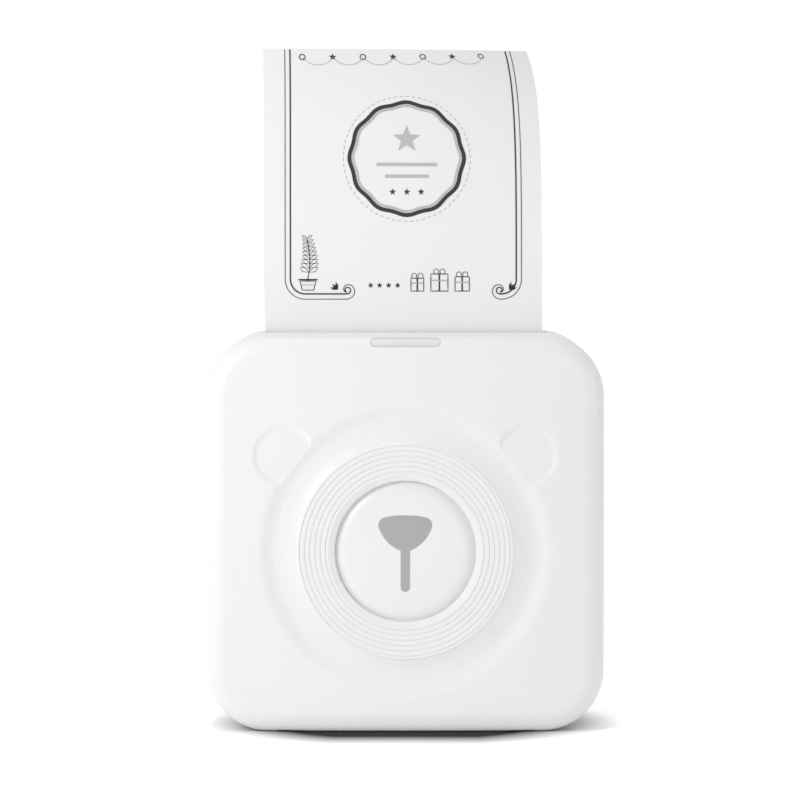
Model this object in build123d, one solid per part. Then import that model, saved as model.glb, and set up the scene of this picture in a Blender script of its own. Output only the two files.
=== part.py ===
from build123d import *
import math
import os

# Pocket thermal printer standing on its lower edge, with a strip of paper coming out of its top.
# Millimetres. +Z is up, the face looks along -Y, the origin is the middle of the case's lower face.

# Case
case_width = 83.0
case_height = 83.0
case_depth = 43.0
corner_radius = 13.0
edge_radius = 4.5
wall = 2.0
crown_radius = 450.0
crown_overshoot = 0.3
parting_y = -4.0
parting_gap = 0.3
fit_gap = 0.15
running_gap = 0.05
touch_gap = 0.05
half_width = case_width / 2
front_y = -case_depth / 2
back_y = case_depth / 2
inner_back_y = back_y - wall
inner_side_x = half_width - wall

# Face relief: a round animal head with two ears round a ribbed ring and a domed nose cap
nose_z = case_height / 2 - 3.5
head_radius = 30.8
trough_radius = 27.0
trough_depth = 0.9
ring_radius = 22.7
ring_flank_drop = 0.35
groove_outer_radius = 21.9
groove_pitch = 1.08
groove_count = 6
groove_width = 0.5
groove_depth = 0.22
ring_chamfer_radius = 16.0
ring_chamfer_depth = 0.45
cap_radius = 14.6
cap_dome = 0.75
cap_edge_drop = 0.75
cap_thickness = 0.9
cap_seat_wall = 1.2
cap_seat_margin = 1.7
ear_radius = 6.85
ear_floor_radius = 5.3
ear_depth = 0.45
ear_x = 25.2
ear_rise = 19.9
mark_width = 11.0
mark_height = 7.5
mark_stem_width = 1.95
mark_stem_length = 8.4
mark_depth = 0.2
mark_proud = 0.03

# Status light in the upper front edge
window_width = 14.5
window_height = 1.7
window_z = case_height - 1.65
window_depth = 3.4
window_foot_width = 9.0
window_foot_drop = 2.6
window_foot_depth = 1.2
led_board_size = (16.0, 0.8, 7.0)
led_size = (3.0, 0.5, 1.4)

# Paper
paper_width = 58.0
paper_thickness = 0.12
roll_radius = 15.0
roll_y = parting_y + 3.0
roll_z = 25.5
core_radius = 6.0
core_wall = 1.2
strip_rise = 58.3
strip_bend_radius = 110.0
strip_bend_angle = 18.0
strip_curl_radius = 16.0
strip_curl_angle = 44.0

# Platen roller and print line
print_line_z = case_height - 11.5
platen_radius = 4.5
platen_shaft_radius = 1.5
platen_end_gap = 0.4
bush_radius = 2.6
bush_flange_radius = 3.2
bush_flange = 0.6
bush_lip = 0.25

# Drive train
gear_module = 0.5
pressure_angle = 20.0
gear_backlash = 0.1
addendum = 0.8
dedendum = 1.1
platen_teeth = 24
idler_small_teeth = 14
idler_large_teeth = 30
pinion_teeth = 12
gear_width = 2.2
idler_angle = -30.0
pinion_angle = -78.0
idler_post_radius = 1.0
post_clip = 0.3
post_clip_radius = 1.8
motor_radius = 6.0
motor_length = 12.0
motor_plate = 0.8
motor_shaft_radius = 0.75
motor_boss_radius = 2.2
motor_ear_pitch = 15.4
motor_ear_radius = 2.0
motor_ear_angle = 40.0

# Chassis
chassis_wall = 1.2
cheek_wall = 1.4
bay_gap = 0.9
cradle_gap = 0.5
cradle_start = -130.0
cradle_end = 82.0
cheek_top_z = case_height - 4.8
beam_gap = 1.5
case_screw_places = (
    (inner_side_x - 5.5, 12.0, inner_back_y - 10.5),
    (inner_side_x - 7.5, case_height - 7.5, inner_back_y - 6.0),
)
chassis_boss_radius = 2.4
sensor_x = 20.0
sensor_size = (4.0, 5.0)
pilot_radius = 0.8
screw_head_radius = 1.7
screw_head_height = 1.0
screw_length = 6.0

# Hinge along the lower front edge
hinge_range = 80.0
hinge_sweep_gap = 0.25
parting_step_z = 7.6
barrel_radius = 2.2
hinge_pin_radius = 0.9
lug_inner_x = 17.5
lug_width = 3.7
knuckle_width = 5.0
knuckle_gap = 0.3
tongue_height = 2.6
riser_depth = 1.8

# Cover lining and print head
lining_wall = 1.2
lining_end = 222.0
guide_radius = 2.0
guide_z = print_line_z - 8.5
lining_half_width = 32.4
head_pocket_y = parting_y - 8.6
lining_top_z = case_height - 3.0
lining_tab_width = inner_side_x - lining_half_width - 2.1
lining_tab_height = 6.0
lining_tab_y = parting_y - 5.0
lining_screw_places = ((inner_side_x - 4.2, 22.0), (inner_side_x - 4.2, case_height - 23.0))
cover_boss_radius = 2.2
head_half_width = 30.0
ceramic_thickness = 0.64
ceramic_low_z = print_line_z - 5.0
ceramic_high_z = print_line_z + 5.0
sink_thickness = 2.0
sink_low_z = print_line_z - 6.0
sink_high_z = print_line_z + 8.0
bracket_thickness = 0.8
bracket_ear_reach = 4.4
head_pivot_y = parting_y - 5.2
head_pivot_z = print_line_z - 3.9
head_pin_radius = 0.8
spring_x = 15.0
spring_z = print_line_z + 4.0
spring_radius = 1.8
spring_wire = 0.45
spring_turns = 5
spring_end_gap = 0.3
spring_peg_radius = 1.1
spring_peg_length = 2.0

# Tear bar behind the slot
slot_half_width = 30.2
tear_front_y = parting_y + 0.7
tear_thickness = 0.4
tear_low_z = case_height - 5.0
tear_high_z = case_height + 0.2
tooth_pitch = 1.5
tooth_height = 0.9
ledge_depth = 1.6
ledge_low_z = case_height - 5.5
tear_peg_radius = 0.6
tear_peg_x = 24.0
tear_peg_z = case_height - 3.6
slot_front_gap = 0.9

# Electronics and battery
board_low = (-11.0, case_height - 39.0)
board_high = (inner_side_x - 1.7, case_height - 11.0)
board_front_y = inner_back_y - 4.1
board_thickness = 1.2
standoff_radius = 2.0
board_screw_places = [
    (x, z)
    for x in (board_low[0] + 3.0, board_high[0] - 7.8)
    for z in (board_low[1] + 3.0, board_high[1] - 2.7)
]
chip_places = (
    (11.0, 20.0, 7.0, 7.0, 0.9),
    (20.5, 20.5, 5.0, 4.0, 0.8),
    (13.0, 9.0, 6.0, 5.0, 1.1),
    (22.0, 8.5, 4.0, 4.0, 2.0),
    (28.0, 8.5, 3.2, 1.8, 1.2),
    (4.0, 19.6, 2.5, 3.2, 1.1),
)
radio_place = (32.5, 20.0)
radio_size = (12.0, 10.5, 0.8)
radio_can_size = (8.0, 8.0, 1.8)
battery_size = (50.0, 27.0, 5.2)
battery_back_y = inner_back_y - 1.1
tape_thickness = 0.3
ribbon_x = 6.0
ribbon_width = 14.0
ribbon_thickness = 0.15
ribbon_loop_radius = 1.6
lead_radius = 0.5

# Side controls on the right
button_y = board_front_y - 2.0
button_z = board_high[1] - 10.0
button_width = 4.6
button_length = 11.0
button_travel = 0.5
button_flange = 0.8
usb_z = button_z - 11.0
usb_size = (6.2, 2.6, 7.6)
usb_mouth_gap = 0.5
reset_z = button_z - 5.0
reset_radius = 0.6
snap_z = (case_height - 23.0, case_height - 15.0)
snap_thickness = 1.2
snap_reach = 3.0

# Places worked out from the sizes above
crown_centre_y = front_y - crown_overshoot + crown_radius
hinge_z = edge_radius
cover_edge_y = parting_y - parting_gap / 2
rear_edge_y = parting_y + parting_gap / 2
web_y = parting_y
platen_y = web_y + paper_thickness / 2 + touch_gap + platen_radius
head_face_y = web_y - paper_thickness / 2 - touch_gap
cheek_inner_x = paper_width / 2 + bay_gap / 2
cheek_outer_x = cheek_inner_x + cheek_wall
cradle_radius = roll_radius + cradle_gap
cradle_middle = cradle_radius + chassis_wall / 2
bay_back_y = roll_y + (cradle_radius + chassis_wall) * math.cos(math.radians(cradle_end)) - chassis_wall
beam_front_y = platen_y + platen_radius + beam_gap
shelf_top_z = print_line_z - platen_radius - beam_gap
gear_plane_x = -(cheek_outer_x + bush_flange + running_gap + 0.35)
large_plane_x = gear_plane_x - gear_width - 0.2
board_back_y = board_front_y + board_thickness
battery_low_z = wall + tape_thickness


def crown_y(distance, inset=0.0):
    """Y of the crowned face, or of a surface inset below it, at a distance from the nose axis."""
    return crown_centre_y - math.sqrt((crown_radius - inset) ** 2 - distance ** 2)


hinge_y = crown_y(nose_z - edge_radius) + edge_radius


def block(low, high):
    """Box between two opposite corners."""
    size = [b - a for a, b in zip(low, high)]
    middle = [(a + b) / 2 for a, b in zip(low, high)]
    return Pos(*middle) * Box(*size)


def rod_x(radius, x_low, x_high, y, z):
    return Pos((x_low + x_high) / 2, y, z) * Rot(0, 90, 0) * Cylinder(radius, x_high - x_low)


def rod_y(radius, y_low, y_high, x, z):
    return Pos(x, (y_low + y_high) / 2, z) * Rot(90, 0, 0) * Cylinder(radius, y_high - y_low)


def tube_x(outer, inner, x_low, x_high, y, z):
    return rod_x(outer, x_low, x_high, y, z) - rod_x(inner, x_low, x_high, y, z)


def slab_x(profile, x_low, x_high):
    """Extrude a profile drawn in (Y, Z) between two X places."""
    return extrude(Plane.YZ.offset(x_low) * profile, x_high - x_low)


def both_sides(shape):
    """The shape and its mirror image across X = 0."""
    return shape + mirror(shape, Plane.YZ)


def polygon(*points):
    return make_face(Polyline(*points, close=True))


def polar(centre, radius, degrees):
    angle = math.radians(degrees)
    return (centre[0] + radius * math.cos(angle), centre[1] + radius * math.sin(angle))


def sector(centre, inner, outer, start, end):
    """Ring sector in (Y, Z) between two polar angles, bounded by arcs."""
    middle = (start + end) / 2
    edges = [
        ThreePointArc(*(polar(centre, outer, a) for a in (start, middle, end))),
        Line(polar(centre, outer, end), polar(centre, inner, end)),
        ThreePointArc(*(polar(centre, inner, a) for a in (end, middle, start))),
        Line(polar(centre, inner, start), polar(centre, outer, start)),
    ]
    return make_face(edges)


def band(start, heading, moves, thickness):
    """Strip of one thickness in (Y, Z). Moves are ("line", length) or ("arc", radius, angle),
    where a positive angle turns left."""
    sides = {1: [], -1: []}
    point, direction = start, heading
    ends = []
    for move in moves:
        normal = math.radians(direction + 90)
        normal = (math.cos(normal), math.sin(normal))
        if move[0] == "line":
            forward = (math.cos(math.radians(direction)), math.sin(math.radians(direction)))
            after = (point[0] + move[1] * forward[0], point[1] + move[1] * forward[1])
            for side, edges in sides.items():
                shift = (side * thickness / 2 * normal[0], side * thickness / 2 * normal[1])
                a = (point[0] + shift[0], point[1] + shift[1])
                b = (after[0] + shift[0], after[1] + shift[1])
                edges.append(Line(a, b))
                ends.append((side, a, b))
        else:
            turn = math.copysign(1, move[2])
            centre = (point[0] + turn * move[1] * normal[0], point[1] + turn * move[1] * normal[1])
            first = direction - 90 * turn
            for side, edges in sides.items():
                radius = move[1] - side * turn * thickness / 2
                a, m, b = (polar(centre, radius, first + move[2] * part) for part in (0, 0.5, 1))
                edges.append(ThreePointArc(a, m, b))
                ends.append((side, a, b))
            after = polar(centre, move[1], first + move[2])
            direction += move[2]
        point = after
    left = [(a, b) for side, a, b in ends if side == 1]
    right = [(a, b) for side, a, b in ends if side == -1]
    caps = [Line(left[0][0], right[0][0]), Line(left[-1][1], right[-1][1])]
    return make_face(sides[1] + sides[-1] + caps)


def screw_y(x, z, head_y, toward, shank_radius, shank_length):
    """Pan-head screw along Y. head_y is the seat under the head, toward is the shank's way."""
    seat, tip = sorted((head_y, head_y + toward * shank_length))
    head_low, head_high = sorted((head_y, head_y - toward * screw_head_height))
    head = rod_y(screw_head_radius, head_low, head_high, x, z)
    head = chamfer(head.edges().group_by(Axis.Y)[0 if toward > 0 else -1], 0.25)
    return head + rod_y(shank_radius, seat, tip, x, z)


# Case envelope


def case_body(inset):
    """Solid bounded by the case's surface, or by a surface inset below it."""
    outline = Plane.XZ * Pos(0, case_height / 2) * RectangleRounded(
        case_width - 2 * inset, case_height - 2 * inset, corner_radius - inset
    )
    body = extrude(outline, case_depth, both=True)
    body &= Pos(0, crown_centre_y, nose_z) * Sphere(crown_radius - inset)
    body &= block((-case_width, -case_depth, -1), (case_width, back_y - inset, case_height + 1))
    front = body.faces().sort_by(Axis.Y)[0]
    body = fillet(front.edges(), edge_radius - inset)
    back = body.faces().sort_by(Axis.Y)[-1]
    return fillet(back.edges(), edge_radius - inset)


def cover_zone():
    """Space of the front cover: ahead of the parting line, with a round lip about the hinge."""
    far = 2 * case_width
    upper = block((-far, -far, parting_step_z), (far, cover_edge_y, far))
    lower = block((-far, -far, -far), (far, hinge_y, parting_step_z))
    return upper + lower + rod_x(edge_radius, -far, far, hinge_y, hinge_z)


def rear_zone():
    """Space of the rear case: behind the parting line and clear of the cover's turning lip."""
    far = 2 * case_width
    upper = block((-far, rear_edge_y, -far), (far, far, far))
    lower = block((-far, hinge_y, -far), (far, rear_edge_y, parting_step_z - parting_gap))
    return upper + lower - rod_x(edge_radius + hinge_sweep_gap, -far, far, hinge_y, hinge_z)


# Front cover


def relief_ring():
    """Turned middle of the face: trough, ribbed ring and the seat of the nose cap."""
    seat_y = front_y + cap_edge_drop + cap_thickness
    mouth = cap_radius + fit_gap
    boss_radius = mouth + cap_seat_margin
    rim = (head_radius, crown_y(head_radius))
    low = (trough_radius, crown_y(trough_radius) + trough_depth)
    flank = (ring_radius, front_y + ring_flank_drop)
    ring = [flank, (ring_radius - ring_flank_drop, front_y)]
    for index in range(groove_count):
        middle = groove_outer_radius - index * groove_pitch
        ring.append((middle + groove_width / 2, front_y))
        ring.append((middle, front_y + groove_depth))
        ring.append((middle - groove_width / 2, front_y))
    ring += [
        (ring_chamfer_radius, front_y),
        (mouth, front_y + ring_chamfer_depth),
        (mouth, seat_y),
        (0, seat_y),
        (0, seat_y + cap_seat_wall),
        (boss_radius, seat_y + cap_seat_wall),
        (boss_radius, crown_y(boss_radius, wall)),
    ]
    inner_middle = (boss_radius + head_radius) / 2
    inner_rim = (head_radius, crown_y(head_radius, wall))
    edges = [
        Spline(rim, low, tangents=[(-1, -head_radius / crown_radius), (-1, -trough_radius / crown_radius)]),
        Spline(low, flank, tangents=[(-1, -trough_radius / crown_radius), (-1, -0.45)]),
        Polyline(*ring),
        ThreePointArc(ring[-1], (inner_middle, crown_y(inner_middle, wall)), inner_rim),
        Line(inner_rim, rim),
    ]
    profile = Plane((0, 0, nose_z)) * make_face(edges)
    return revolve(profile, Axis((0, 0, nose_z), (0, 1, 0)))


def ear_cutter(side):
    """Shallow round recess with soft walls, square to the crowned face where the ear lies."""
    x, z = side * ear_x, nose_z + ear_rise
    place = Vector(x, crown_y(math.hypot(ear_x, ear_rise)), z)
    outward = place - Vector(0, crown_centre_y, nose_z)
    outer = (ear_radius, -ear_radius ** 2 / (2 * crown_radius))
    floor = (ear_floor_radius, -ear_depth)
    above = 2.0
    edges = [
        Line((0, -ear_depth), floor),
        Spline(floor, outer, tangents=[(1, 0), (1, 0)]),
        Line(outer, (ear_radius, above)),
        Line((ear_radius, above), (0, above)),
        Line((0, above), (0, -ear_depth)),
    ]
    turned = revolve(Plane.XZ * make_face(edges), Axis.Z)
    return Plane(origin=place, z_dir=outward) * turned


def window_prism(gap):
    """Pill-shaped bar of the status window, grown by a gap."""
    pill = SlotOverall(window_width + 2 * gap, window_height + 2 * gap)
    bar_back = crown_y(window_z - nose_z) + window_depth
    return extrude(Plane.XZ.offset(-bar_back) * Pos(0, window_z) * pill, case_depth)


def front_cover():
    far = 2 * case_width
    cover = (case_body(0) - case_body(wall)) & cover_zone()
    cover -= rod_y(head_radius, -far, crown_y(head_radius, wall) + wall, 0, nose_z)
    cover += relief_ring()
    cover -= ear_cutter(1) + ear_cutter(-1)
    cover -= window_prism(touch_gap)
    cover -= block(
        (-slot_half_width, web_y - slot_front_gap, case_height - 2 * wall),
        (slot_half_width, 0, case_height + wall),
    )
    trim = case_body(wall / 2)
    for x, z in lining_screw_places:
        boss = rod_y(cover_boss_radius, -far, lining_tab_y - lining_wall, x, z) & trim
        boss -= rod_y(pilot_radius, lining_tab_y - lining_wall - screw_length, 0, x, z)
        cover += both_sides(boss)
    cover += both_sides(cover_lugs())
    cover -= both_sides(knuckle_notch())
    cover -= both_sides(rod_x(hinge_pin_radius, lug_inner_x, lug_outer_x(), hinge_y, hinge_z))
    snap_x = inner_side_x - fit_gap
    snap = block(
        (snap_x - snap_thickness, cover_edge_y - snap_reach, snap_z[0]),
        (snap_x, cover_edge_y + snap_reach, snap_z[1]),
    )
    root = block(
        (snap_x - snap_thickness, cover_edge_y - 2 * snap_reach, snap_z[0]),
        (inner_side_x + wall / 2, cover_edge_y, snap_z[1]),
    )
    return cover + both_sides(snap + root)


def lug_outer_x():
    return lug_inner_x + 2 * lug_width + knuckle_width + 2 * knuckle_gap


def cover_lugs():
    """Two cover lugs of one hinge, grown from the inside of the front lower edge."""
    centre = (hinge_y, hinge_z)
    inner = edge_radius - wall
    web = polygon(centre, polar(centre, inner + wall / 2, 165), polar(centre, inner + wall / 2, 200),
                  polar(centre, inner + wall / 2, 245))
    profile = web + Pos(*centre) * Circle(barrel_radius)
    first = slab_x(profile, lug_inner_x, lug_inner_x + lug_width)
    second = slab_x(profile, lug_outer_x() - lug_width, lug_outer_x())
    return first + second


def knuckle_notch():
    """Opening in the cover's lower lip, as wide as the knuckle's tongue sweeps when the cover opens."""
    low_x = lug_inner_x + lug_width
    high_x = lug_outer_x() - lug_width
    centre = (hinge_y, hinge_z)
    half = tongue_height / 2 + hinge_sweep_gap
    reach = 2 * edge_radius
    front = polar(centre, half, -hinge_range - 90)
    swept = polygon(
        centre,
        front,
        polar(front, reach, -hinge_range),
        (hinge_y + reach, hinge_z - reach),
        (hinge_y + reach, hinge_z + half),
        (hinge_y, hinge_z + half),
    )
    slot = slab_x(swept, low_x, high_x)
    return slot + rod_x(barrel_radius + hinge_sweep_gap, low_x, high_x, hinge_y, hinge_z)


def nose_cap_outline(offset):
    """Domed cap, or the space up to a surface offset from its dome."""
    edge_y = front_y + cap_edge_drop
    seat_y = edge_y + cap_thickness
    dome = (cap_radius ** 2 + cap_dome ** 2) / (2 * cap_dome)
    centre = edge_y - cap_dome + dome
    body = rod_y(cap_radius, edge_y - cap_dome - 1, seat_y, 0, nose_z)
    return body & Pos(0, centre, nose_z) * Sphere(dome + offset)


def mark_prism():
    """Nose and mouth line as one outline, run through along Y."""
    half, top = mark_width / 2, mark_height
    stem = mark_stem_width / 2
    brow = (0.76 * half, top - 0.4)
    cheek = (half, 0.66 * top)
    chin = (stem, 0.15)
    right = [
        ThreePointArc((0, top), (0.4 * half, top - 0.06), brow),
        ThreePointArc(brow, (0.975 * half, top - 1.2), cheek),
        ThreePointArc(cheek, (0.68 * half, 0.27 * top), chin),
    ]
    left = [mirror(edge, Plane.YZ) for edge in right]
    nose = make_face(right + left + [Line(chin, (-chin[0], chin[1]))])
    stem_bar = Pos(0, (1 - mark_stem_length) / 2) * Rot(0, 0, 90) * SlotOverall(
        mark_stem_length + 1, mark_stem_width
    )
    return extrude(Plane.XZ * Pos(0, nose_z) * (nose + stem_bar), case_depth)


def nose_cap():
    pocket = mark_prism() - nose_cap_outline(-mark_depth)
    return nose_cap_outline(0) - pocket


def nose_mark():
    return (mark_prism() & nose_cap_outline(mark_proud)) - nose_cap_outline(-mark_depth)


def status_window():
    """Clear light guide: the pill in the edge and a foot that reaches down to the lamp."""
    bar = window_prism(0) & case_body(0)
    bar_back = crown_y(window_z - nose_z) + window_depth
    foot_z = window_z - window_foot_drop - window_height / 2
    foot = block(
        (-window_foot_width / 2, bar_back - window_foot_depth, foot_z),
        (window_foot_width / 2, bar_back, window_z),
    )
    return bar + (foot & case_body(wall + touch_gap))


def status_board():
    """Small board behind the light guide, with its lamp."""
    bar_back = crown_y(window_z - nose_z) + window_depth
    front = bar_back + led_size[1] + touch_gap
    top = window_z - window_height / 2 - 0.3
    board = block(
        (-led_board_size[0] / 2, front, top - led_board_size[2]),
        (led_board_size[0] / 2, front + led_board_size[1], top),
    )
    lamp_z = window_z - window_foot_drop
    lamp = block(
        (-led_size[0] / 2, front - led_size[1], lamp_z - led_size[2] / 2),
        (led_size[0] / 2, front, lamp_z + led_size[2] / 2),
    )
    return board + lamp


def hinge_pins():
    return both_sides(rod_x(hinge_pin_radius, lug_inner_x, lug_outer_x(), hinge_y, hinge_z))


# Paper path


def guide_centre():
    return (web_y - paper_thickness / 2 - touch_gap - guide_radius, guide_z)


def web_angle():
    """Lean of the paper between the roll and the guide rib, from the vertical, in degrees."""
    guide = guide_centre()
    guide_reach = guide_radius + touch_gap + paper_thickness / 2
    roll_reach = roll_radius + touch_gap + paper_thickness / 2
    dy, dz = guide[0] - roll_y, guide[1] - roll_z
    return math.degrees(math.asin((guide_reach + roll_reach) / math.hypot(dy, dz)) + math.atan2(dy, dz))


def web_length():
    guide = guide_centre()
    guide_reach = guide_radius + touch_gap + paper_thickness / 2
    roll_reach = roll_radius + touch_gap + paper_thickness / 2
    span = math.hypot(guide[0] - roll_y, guide[1] - roll_z)
    return math.sqrt(span ** 2 - (guide_reach + roll_reach) ** 2)


def paper_strip():
    """Paper from the roll past the print line and out of the slot, where it bends back."""
    lean = web_angle()
    reach = roll_radius + touch_gap + paper_thickness / 2
    start = polar((roll_y, roll_z), reach, 180 - lean)
    guide_reach = guide_radius + touch_gap + paper_thickness / 2
    bend, curl = math.radians(strip_bend_angle), math.radians(strip_bend_angle + strip_curl_angle)
    curved = strip_bend_radius * math.sin(bend) + strip_curl_radius * (math.sin(curl) - math.sin(bend))
    straight = case_height + strip_rise - curved - guide_z
    moves = [
        ("line", web_length()),
        ("arc", guide_reach, lean),
        ("line", straight),
        ("arc", strip_bend_radius, -strip_bend_angle),
        ("arc", strip_curl_radius, -strip_curl_angle),
    ]
    return slab_x(band(start, 90 - lean, moves, paper_thickness), -paper_width / 2, paper_width / 2)


def paper_roll():
    half = paper_width / 2
    return tube_x(roll_radius, core_radius, -half, half, roll_y, roll_z)


def roll_core():
    half = paper_width / 2
    return tube_x(core_radius, core_radius - core_wall, -half, half, roll_y, roll_z)


# Gears


def gear_outline(teeth, thinning):
    """Spur gear with involute flanks, one tooth centred on the sketch's +X axis."""
    pitch = gear_module * teeth / 2
    base = pitch * math.cos(math.radians(pressure_angle))
    tip = pitch + addendum * gear_module
    root = pitch - dedendum * gear_module
    lean = math.radians(pressure_angle)
    half_angle = math.pi / (2 * teeth) - thinning / (2 * pitch) + math.tan(lean) - lean
    start = max(base, root)
    flank = []
    for part in (0, 0.35, 0.7, 1):
        radius = start + part * (tip - start)
        roll = math.sqrt(max(0.0, (radius / base) ** 2 - 1))
        flank.append((radius, half_angle - (roll - math.atan(roll))))
    if root < base:
        flank.insert(0, (root, flank[0][1]))
    points = []
    for tooth in range(teeth):
        middle = 2 * math.pi * tooth / teeth
        points += [(r * math.cos(middle - a), r * math.sin(middle - a)) for r, a in flank]
        points += [(r * math.cos(middle + a), r * math.sin(middle + a)) for r, a in reversed(flank)]
    return polygon(*points)


def gear_x(teeth, x_low, x_high, centre, phase, bore):
    """Gear about an X axis, with the first tooth at a polar angle in the (Y, Z) plane."""
    outline = Pos(*centre) * Rot(0, 0, phase) * (gear_outline(teeth, gear_backlash) - Circle(bore))
    return slab_x(outline, x_low, x_high)


def platen_centre():
    return (platen_y, print_line_z)


def idler_centre():
    return polar(platen_centre(), gear_module * (platen_teeth + idler_small_teeth) / 2, idler_angle)


def motor_centre():
    return polar(idler_centre(), gear_module * (idler_large_teeth + pinion_teeth) / 2, pinion_angle)


def platen_gear():
    """A tooth of the platen gear points at the idler, where the idler has a gap."""
    return gear_x(platen_teeth, gear_plane_x - gear_width, gear_plane_x, platen_centre(), idler_angle,
                  platen_shaft_radius)


def idler_gear():
    centre = idler_centre()
    bore = idler_post_radius + running_gap
    small_phase = idler_angle + 180 + 180 / idler_small_teeth
    small = gear_x(idler_small_teeth, large_plane_x, gear_plane_x, centre, small_phase, bore)
    large = gear_x(idler_large_teeth, large_plane_x - gear_width, large_plane_x, centre, pinion_angle, bore)
    return small + large


def drive_pinion():
    phase = pinion_angle + 180 + 180 / pinion_teeth
    return gear_x(pinion_teeth, large_plane_x - gear_width, large_plane_x, motor_centre(), phase,
                  motor_shaft_radius)


def idler_post():
    """Axle pressed into the left cheek, with a clip that keeps the idler on."""
    centre = idler_centre()
    clip_x = large_plane_x - gear_width - running_gap
    post = rod_x(idler_post_radius, clip_x - post_clip - 0.3, -cheek_inner_x, *centre)
    return post + rod_x(post_clip_radius, clip_x - post_clip, clip_x, *centre)


def platen_shaft():
    return rod_x(platen_shaft_radius, gear_plane_x - gear_width, cheek_outer_x + bush_flange + 0.6,
                 *platen_centre())


def platen_rubber():
    half = cheek_inner_x - platen_end_gap
    rubber = rod_x(platen_radius, -half, half, *platen_centre())
    rubber = chamfer(rubber.edges(), 0.3)
    return rubber - rod_x(platen_shaft_radius, -half, half, *platen_centre())


def platen_bushes():
    centre = platen_centre()
    bush = rod_x(bush_radius, cheek_inner_x, cheek_outer_x, *centre)
    bush += rod_x(bush_flange_radius, cheek_outer_x, cheek_outer_x + bush_flange, *centre)
    bush -= rod_x(platen_shaft_radius + running_gap, 0, case_width, *centre)
    return both_sides(bush)


def motor_ears():
    centre = motor_centre()
    return [polar(centre, motor_ear_pitch / 2, angle) for angle in (motor_ear_angle, motor_ear_angle + 180)]


def stepper_motor():
    """Motor can on an oval plate that is screwed to the inside of the left cheek."""
    centre = motor_centre()
    plate_x = -cheek_inner_x + motor_plate
    can = rod_x(motor_radius, plate_x, plate_x + motor_length, *centre)
    can = chamfer(can.edges().group_by(Axis.X)[-1], 0.5)
    ears = make_hull((
        Pos(*motor_ears()[0]) * Circle(motor_ear_radius)
        + Pos(*motor_ears()[1]) * Circle(motor_ear_radius)
        + Pos(*centre) * Circle(motor_ear_pitch / 2 - motor_ear_radius)
    ).edges())
    motor = can + slab_x(ears, -cheek_inner_x, plate_x)
    motor += rod_x(motor_boss_radius, -cheek_outer_x, -cheek_inner_x, *centre)
    for ear in motor_ears():
        motor -= rod_x(pilot_radius, -cheek_inner_x, plate_x, *ear)
    return motor - rod_x(motor_shaft_radius + running_gap, -case_width, plate_x + motor_length / 2, *centre)


def motor_shaft():
    plate_x = -cheek_inner_x + motor_plate
    return rod_x(motor_shaft_radius, large_plane_x - gear_width - 0.3, plate_x + motor_length / 2 - 0.3,
                 *motor_centre())


def motor_screws():
    """Two screws from outside the cheek into the motor's plate."""
    screws = []
    for ear in motor_ears():
        head = rod_x(1.3, -cheek_outer_x - 0.7, -cheek_outer_x, *ear)
        screws.append(head + rod_x(pilot_radius, -cheek_outer_x, -cheek_inner_x + motor_plate, *ear))
    return screws[0] + screws[1]


# Chassis


def cheek_outline(side):
    """Side plate of the paper bay in (Y, Z). The left one also carries the motor."""
    lip = polar((roll_y, roll_z), cradle_radius + chassis_wall, cradle_start)
    rear = inner_back_y
    low_screw, high_screw = case_screw_places
    foot_z = roll_z - cradle_radius - chassis_wall
    ledge_back = tear_front_y + tear_thickness + ledge_depth + 2 * fit_gap
    front = [
        (roll_y, foot_z),
        lip,
        (lip[0], roll_z + 0.8 * roll_radius),
        (web_y - 1.2, guide_z - 6),
        (web_y + 0.6, guide_z + 1),
        (web_y + 0.6, ledge_low_z - 2 * fit_gap),
        (ledge_back, ledge_low_z - 2 * fit_gap),
        (ledge_back, cheek_top_z),
        (rear, cheek_top_z),
        (rear, high_screw[1] - 2.5),
    ]
    motor = motor_centre()
    pad = motor_ear_pitch / 2 - motor_ear_radius + 1
    if side < 0:
        back = [
            (motor[0] + pad, high_screw[1] - 4),
            (motor[0] + pad, motor[1] - pad),
            (motor[0] - 1, motor[1] - pad - 1.5),
        ]
    else:
        back = [(board_front_y - 3, high_screw[1] - 4), (board_front_y - 3, board_low[1] - 2)]
    cradle_back = roll_y + cradle_radius + chassis_wall
    back += [
        (cradle_back, roll_z + 4),
        (cradle_back, low_screw[1] + 4),
        (rear, low_screw[1] + 2.5),
        (rear, foot_z),
    ]
    return polygon(*front, *back)


def bay_profile():
    """Cradle of the roll, wall behind the paper, shelf and beam round the platen, in (Y, Z)."""
    centre = (roll_y, roll_z)
    cradle = sector(centre, cradle_radius, cradle_radius + chassis_wall, cradle_start, cradle_end)
    cradle_top = polar(centre, cradle_radius, cradle_end)[1]
    wall_back = bay_back_y + chassis_wall
    riser = polygon((bay_back_y, cradle_top), (wall_back, cradle_top - 0.1), (wall_back, shelf_top_z),
                    (bay_back_y, shelf_top_z))
    shelf_low_z = shelf_top_z - chassis_wall
    beam_back_y = beam_front_y + chassis_wall
    shelf = polygon((bay_back_y, shelf_low_z), (beam_back_y, shelf_low_z),
                    (beam_back_y, shelf_top_z), (bay_back_y, shelf_top_z))
    beam = polygon((beam_front_y, shelf_low_z), (beam_back_y, shelf_low_z),
                   (beam_back_y, cheek_top_z), (beam_front_y, cheek_top_z))
    return cradle + riser + shelf + beam


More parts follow.
